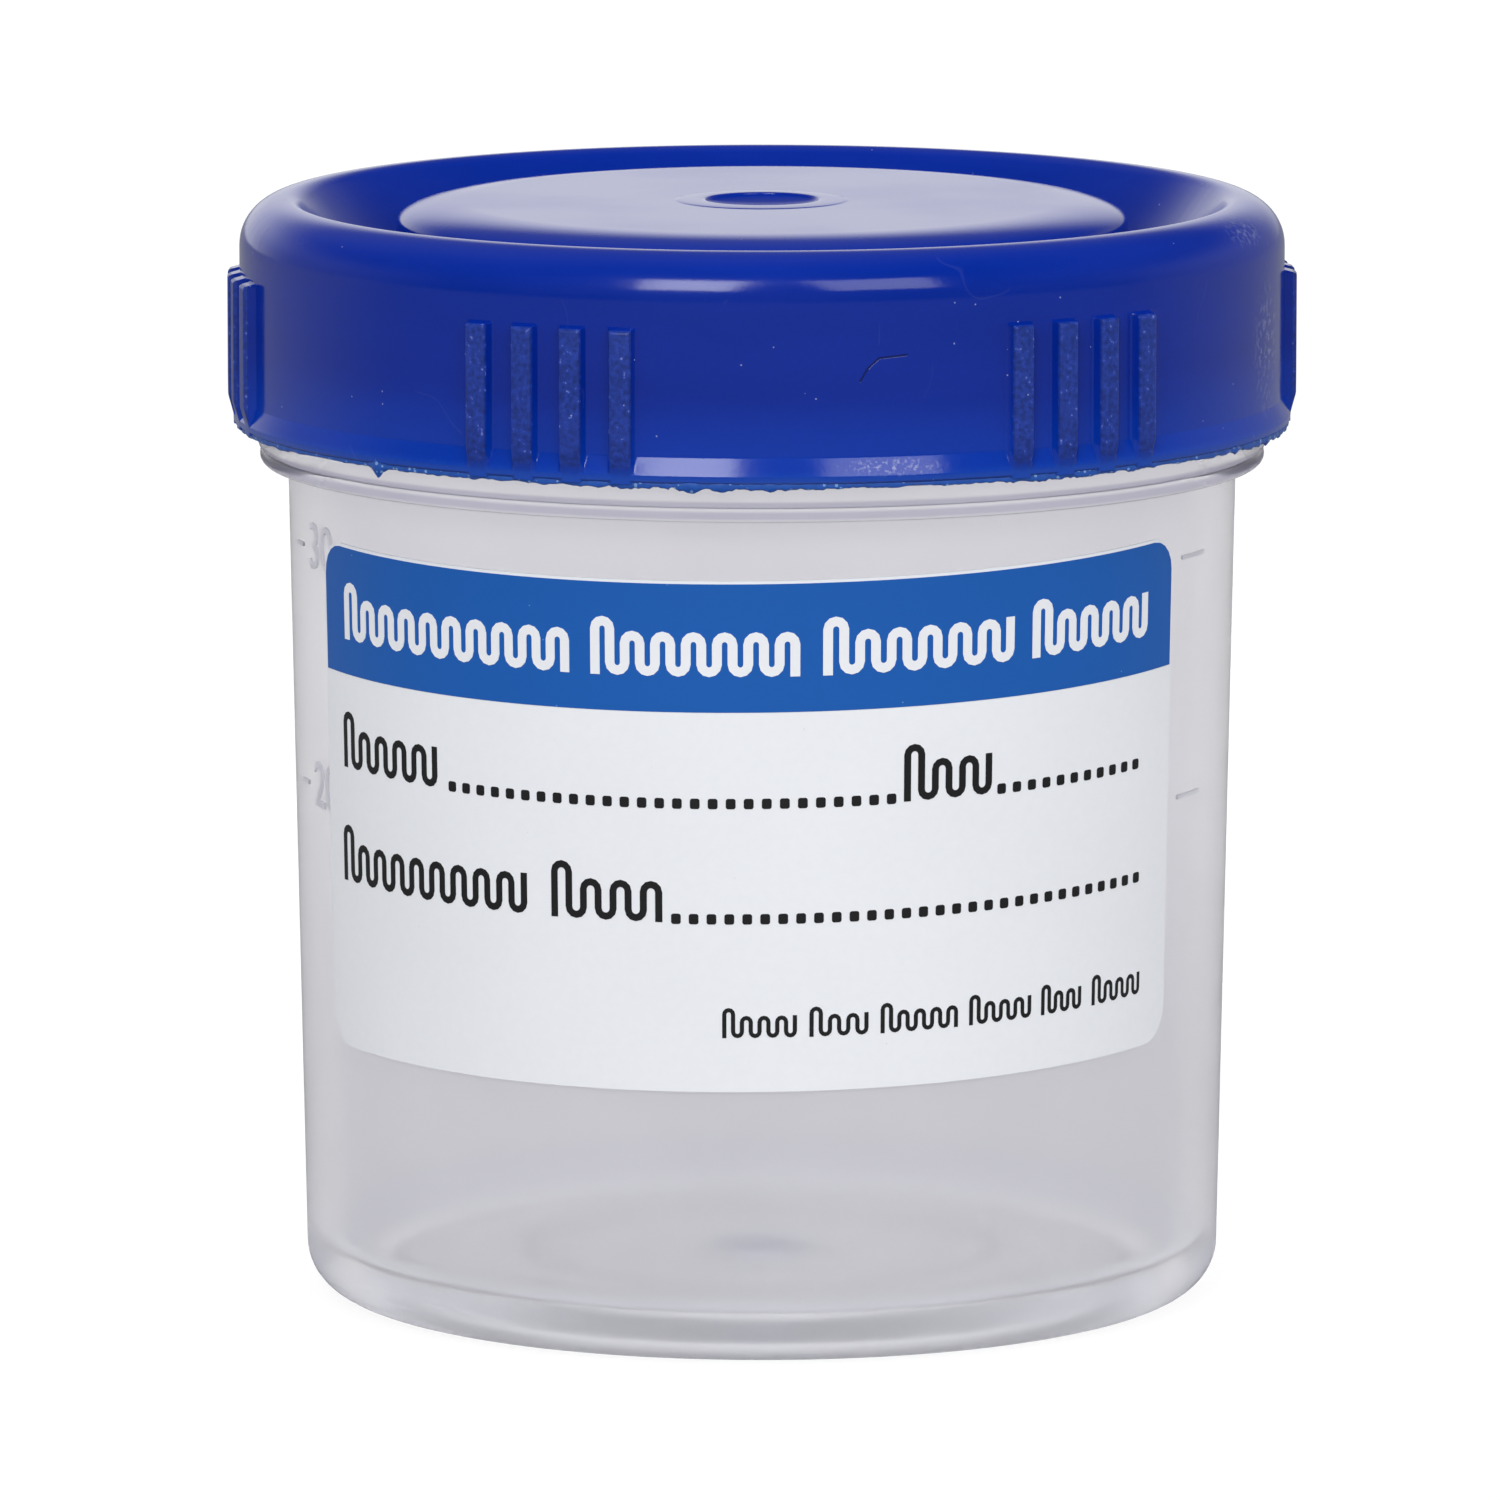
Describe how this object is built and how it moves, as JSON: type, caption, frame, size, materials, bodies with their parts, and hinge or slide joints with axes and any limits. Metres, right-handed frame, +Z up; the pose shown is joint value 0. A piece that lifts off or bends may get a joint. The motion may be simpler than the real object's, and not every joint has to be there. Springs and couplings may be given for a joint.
{
  "type": "specimen container",
  "caption": "Small translucent screw-cap cup with a flanged neck, a blue cap with a rolled rim, raised disc and grip ribs, and a paper label round the front.",
  "frame": {"origin": "centre of the cup's foot, on the surface that it stands on", "axes": "+Z up along the axis of cup and cap, -Y out of the front, which carries the label"},
  "size_m": [0.0436, 0.0432, 0.045],
  "materials": {
    "clear_polypropylene": "natural translucent moulded plastic, satin outside",
    "blue_polypropylene": "opaque blue moulded plastic, semi-gloss with fine scuffs",
    "label_paper": "smooth coated white paper with a blue band and grey fill-in dots"
  },
  "bodies": {
    "container": {"container_body": "clear_polypropylene", "paper_label": "label_paper"},
    "cap": {"screw_cap": "blue_polypropylene"}
  },
  "joints": [
    {"name": "cap_lift", "type": "slide", "parent": "container", "child": "cap", "axis": [0, 0, 1], "range_m": [0, 0.045]}
  ]
}
